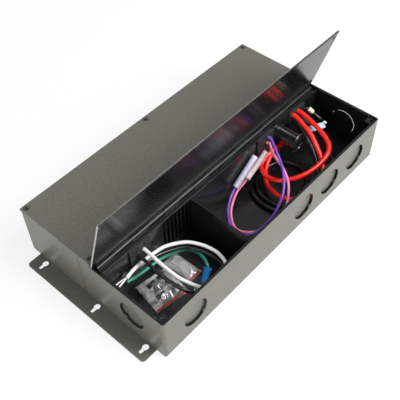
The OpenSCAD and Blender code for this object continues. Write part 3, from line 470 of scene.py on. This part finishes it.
lead("output_black_b", [
    (119, -14.1, 38.5), (119, -17.5, 38.5), (119, -20.5, 38.5), (120.5, -30, 36), (121.5, -42, 33.5),
    (121.5, -54, 23), (118, -64.5, 12), (112, -72.5, 6.5), (101, -78, 4.5), (88, -80.5, 4), (74, -81.5, 4),
    (60, -81.5, 4), (48, -78, 4), (36, -70.5, 4), (28, -60, 4), (26, -47, 4), (29, -34, 4), (34, -26.5, 4)],
    4.9, black_skin)
lead("spare_lead", [
    (125.2, -14.1, 45.6), (125.2, -17.4, 45.6), (126.8, -19.9, 45.8), (129, -22.4, 45.4), (130.6, -27.2, 42),
    (131.2, -31, 39.6), (131.8, -36, 37.6), (131.6, -41, 36.6)],
    2.2, black_skin)


# Bags

def bag(node, size, height, at, turn, seed, film, backing):
    """A filled clear bag: a crowned, wrinkled film over a flat backing, with sealed edges. In millimetres."""
    floor_top, backing_z, seal_z = 1.5, 0.1, 0.35
    width, length = size
    across, down = 36, 48
    crown = []
    base = []
    for j in range(down + 1):
        for i in range(across + 1):
            u, v = 2 * i / across - 1, 2 * j / down - 1
            swell = max(0.0, (1 - abs(u) ** 2.6) * (1 - abs(v) ** 3.2)) ** 0.75
            crease = noise.noise(Vector((1.3 * u + seed, 1.6 * v, seed)))
            fold = max(0.0, 1 - 3 * abs(noise.noise(Vector((1.9 * u - v, 1.3 * v + u, 2 * seed)))))
            lift = height * swell * min(1.0, 0.68 + 0.16 * crease + 0.26 * fold)
            crown.append((0.5 * width * u, 0.5 * length * v, seal_z + max(0.0, lift)))
            base.append((0.5 * width * u, 0.5 * length * v, backing_z))
    row = across + 1
    count = len(crown)
    faces = []
    for j in range(down):
        for i in range(across):
            a = j * row + i
            quad = (a, a + 1, a + 1 + row, a + row)
            faces.append(quad)
            faces.append(tuple(count + q for q in reversed(quad)))
    rim = (list(range(row)) + [j * row + across for j in range(1, down + 1)]
           + [down * row + i for i in range(across - 1, -1, -1)]
           + [j * row for j in range(down - 1, 0, -1)])
    for a, b in zip(rim, rim[1:] + rim[:1]):
        faces.append((b, a, count + a, count + b))
    place = Matrix.Translation((*at, floor_top)) @ Matrix.Rotation(math.radians(turn), 4, "Z")
    mesh = bpy.data.meshes.new(node + "_film")
    mesh.from_pydata([MM * (place @ Vector(p)) for p in crown + base], [], faces)
    mesh.materials.append(film)
    mesh.materials.append(backing)
    mesh.shade_smooth()
    for face in mesh.polygons:
        face.material_index = int(min(face.vertices) >= count)
    piece = bpy.data.objects.new(node + "_film", mesh)
    bpy.context.scene.collection.objects.link(piece)
    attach(piece, "driver")
    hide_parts(node)
    return place


def zip_strip(name, place, width, y, surface):
    """Coloured closure of a bag: a double bead across it, a little arched. In millimetres."""
    steps, bead_gap, bead_r = 12, 1.3, 0.55
    foot, rise = 1.1, 0.5
    paths = []
    for bead_y in (y, y + bead_gap):
        path = []
        for k in range(steps + 1):
            across = width * (k / steps - 0.5)
            arch = foot + rise * math.sin(math.pi * k / steps)
            path.append(MM * (place @ Vector((across, bead_y, arch))))
        paths.append(path)
    piece = curve(name, paths, bead_r * MM, surface)
    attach(piece, "driver")


bag_film = clear("bag_film", (0.98, 0.98, 0.98), 0.08, 0.94, 0.0003, 55)
milky_film = clear("milky_film", (0.97, 0.97, 0.98), 0.12, 0.55, 0.0011, 55)
# Painted reflection: the backing's light patches stand in for the silvery shine of the bottom film where air
# lies under it
bag_backing = clear("bag_backing", (0.95, 0.96, 0.97), 0.2, 0.15, 0.0004, 150, (0.16, 0.16, 0.17))
zip_red = moulding("zip_red", (0.7, 0.03, 0.03), 0.3)
large_bag = bag("hardware_bag", (35.6, 34.6), 8.4, (-110, -39.2), -9.5, 1.7, bag_film, bag_backing)
small_bag = bag("spare_bag", (16.2, 33.6), 4.4, (-80.2, -36.5), 1, 5.2, milky_film, bag_backing)
zip_strip("large_zip", large_bag, 34, -16.4, zip_red)
zip_strip("small_zip", small_bag, 13, -15.9, zip_red)


# Stage, light and camera

def background_socket(tree, *others):
    """1 for the rays that show the background: camera and transmission rays, and the others named."""
    path = tree.nodes.new("ShaderNodeLightPath")
    total = path.outputs["Is Camera Ray"]
    for name in ("Is Transmission Ray", *others):
        join = tree.nodes.new("ShaderNodeMath")
        join.operation = "MAXIMUM"
        tree.links.new(total, join.inputs[0])
        tree.links.new(path.outputs[name], join.inputs[1])
        total = join.outputs["Value"]
    return total


floor_half = 4
floor_drop = 0.0002
floor_glow = 0.8
world_level = 0.4

floor_mesh = bpy.data.meshes.new("floor")
floor_corners = [(x * floor_half, y * floor_half, 0) for x, y in ((-1, -1), (1, -1), (1, 1), (-1, 1))]
floor_mesh.from_pydata(floor_corners, [], [(0, 1, 2, 3)])
floor = bpy.data.objects.new("floor", floor_mesh)
floor.location.z = -floor_drop
bpy.context.scene.collection.objects.link(floor)
floor_paint = bpy.data.materials.new("floor_paint")
floor_paint.use_nodes = True
tree = floor_paint.node_tree
tree.nodes.remove(tree.nodes["Principled BSDF"])
matte = tree.nodes.new("ShaderNodeBsdfDiffuse")
matte.inputs["Color"].default_value = (0.88, 0.88, 0.88, 1)
glow = tree.nodes.new("ShaderNodeEmission")
share = tree.nodes.new("ShaderNodeMath")
share.operation = "MULTIPLY"
share.inputs[1].default_value = floor_glow
blend = tree.nodes.new("ShaderNodeMixShader")
tree.links.new(background_socket(tree, "Is Glossy Ray"), share.inputs[0])
tree.links.new(share.outputs["Value"], blend.inputs["Fac"])
tree.links.new(matte.outputs["BSDF"], blend.inputs[1])
tree.links.new(glow.outputs["Emission"], blend.inputs[2])
tree.links.new(blend.outputs["Shader"], tree.nodes["Material Output"].inputs["Surface"])
floor_mesh.materials.append(floor_paint)

world = bpy.data.worlds.new("studio")
bpy.context.scene.world = world
world.use_nodes = True
tree = world.node_tree
level = tree.nodes.new("ShaderNodeMapRange")
level.inputs["To Min"].default_value = world_level
tree.links.new(background_socket(tree), level.inputs["Value"])
tree.nodes["Background"].inputs["Color"].default_value = (1, 1, 1, 1)
tree.links.new(level.outputs["Result"], tree.nodes["Background"].inputs["Strength"])


def softbox(name, place, target, size, power):
    """A rectangular lamp that faces a target. In metres and watts."""
    light = bpy.data.lights.new(name, "AREA")
    light.shape = "RECTANGLE"
    light.size, light.size_y = size
    light.energy = power
    lamp = bpy.data.objects.new(name, light)
    lamp.location = place
    lamp.rotation_euler = (Vector(target) - Vector(place)).to_track_quat("-Z", "Y").to_euler()
    bpy.context.scene.collection.objects.link(lamp)


softbox("key_light", (0.45, -1.0, 0.85), (0.02, -0.03, 0.03), (0.7, 0.7), 18)
softbox("fill_light", (-1.1, -0.3, 0.42), (0, 0, 0.03), (0.8, 0.5), 5.5)
softbox("top_light", (0.25, -0.4, 1.05), (0, -0.05, 0.03), (0.5, 0.35), 6.0)

# Camera, fitted to the corners of the housing in the photo
azimuth, elevation, roll = (math.radians(a) for a in (-46.74, 49.81, -1.92))
target = Vector((-0.0232, -0.0081, 0.025))
distance = 0.6561
right = Vector((math.cos(azimuth), math.sin(azimuth), 0))
back = Vector((
    math.sin(azimuth) * math.cos(elevation),
    -math.cos(azimuth) * math.cos(elevation),
    math.sin(elevation)))
up = back.cross(right)
turned_right = math.cos(roll) * right + math.sin(roll) * up
turned_up = math.cos(roll) * up - math.sin(roll) * right
camera_data = bpy.data.cameras.new("camera")
camera_data.lens = 61.67
camera_data.sensor_width = 36
camera = bpy.data.objects.new("camera", camera_data)
turned = Matrix((turned_right, turned_up, back)).transposed().to_4x4()
camera.matrix_world = Matrix.Translation(target + distance * back) @ turned
bpy.context.scene.collection.objects.link(camera)
bpy.context.scene.camera = camera
bpy.context.scene.view_settings.view_transform = "Standard"
